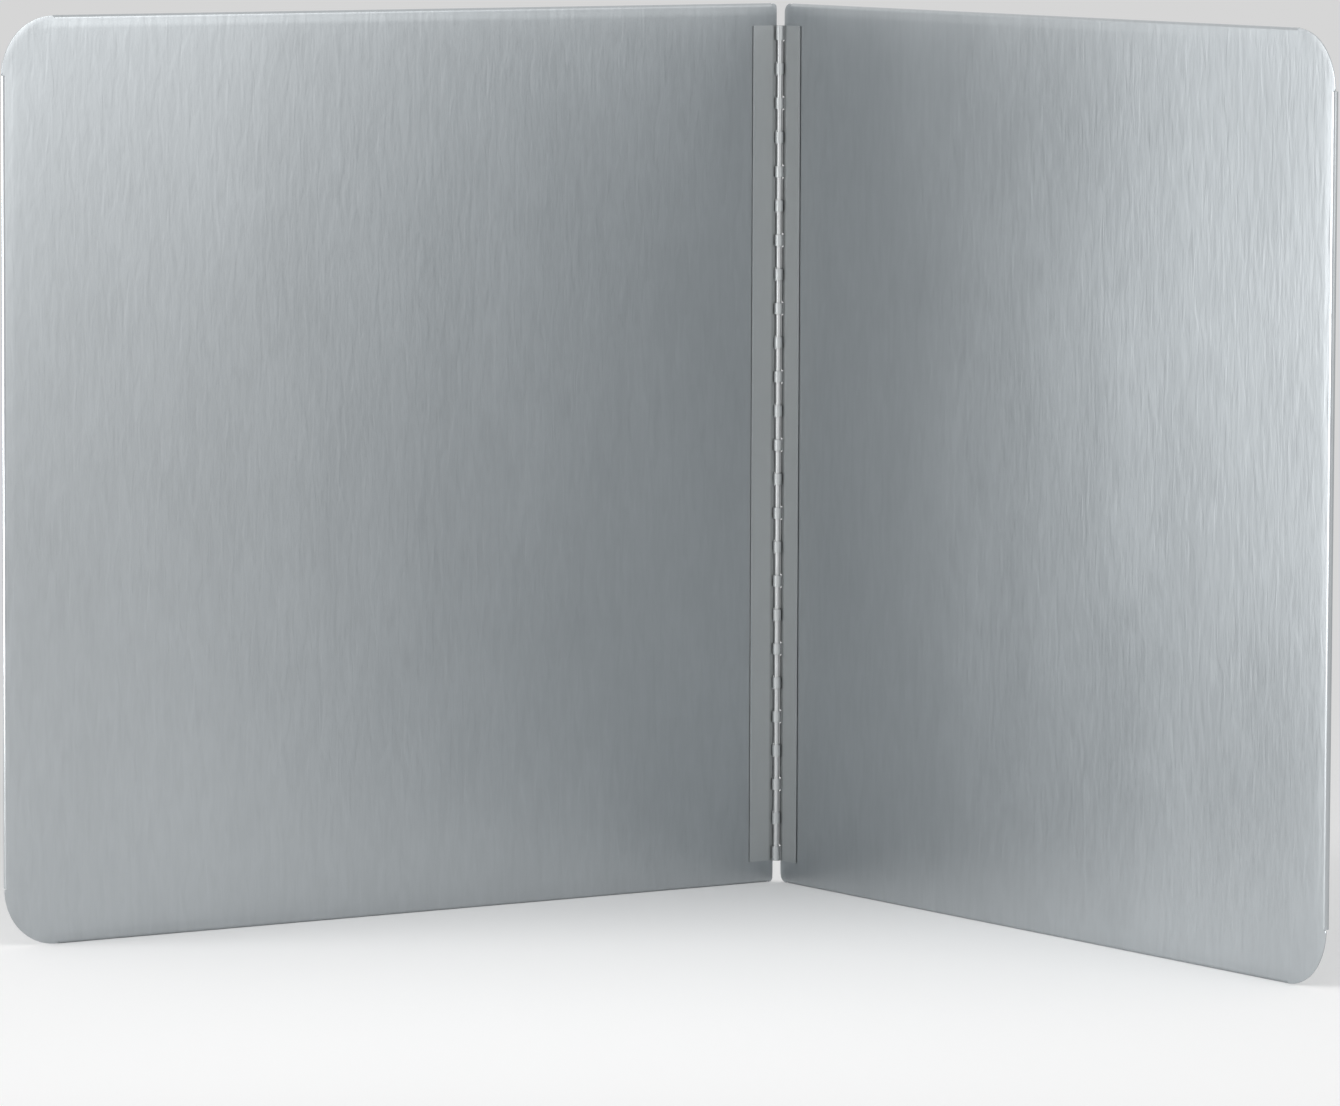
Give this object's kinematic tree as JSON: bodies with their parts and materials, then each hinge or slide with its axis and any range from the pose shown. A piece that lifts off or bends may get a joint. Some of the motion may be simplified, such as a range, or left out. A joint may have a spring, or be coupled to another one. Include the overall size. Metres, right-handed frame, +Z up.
{
  "type": "stove splash guard",
  "caption": "Folding stove splash guard: square hemmed sheet-metal panels joined edge to edge by a full-height continuous hinge.",
  "frame": {"origin": "middle of the guard's footprint, on the surface that it stands on", "axes": "+Z up; the left panel lies along X at the back and the right panel along Y at the +X side, so the stove stands on the -X, -Y side of the hinge"},
  "size_m": [0.4056, 0.4056, 0.4],
  "materials": {
    "panel_steel": "vertically brushed sheet",
    "hinge_steel": "satin strip",
    "pin_steel": "bright drawn wire"
  },
  "bodies": {
    "left_side": {"left_panel": "panel_steel", "left_hinge_leaf": "hinge_steel", "hinge_pin": "pin_steel"},
    "right_side": {"right_panel": "panel_steel", "right_hinge_leaf": "hinge_steel"}
  },
  "joints": [
    {"name": "panel_fold", "type": "hinge", "parent": "left_side", "child": "right_side", "pos_m": [0.19736, 0.19736, 0.2], "axis": [0, 0, 1], "range_deg": [-90, 90]}
  ]
}
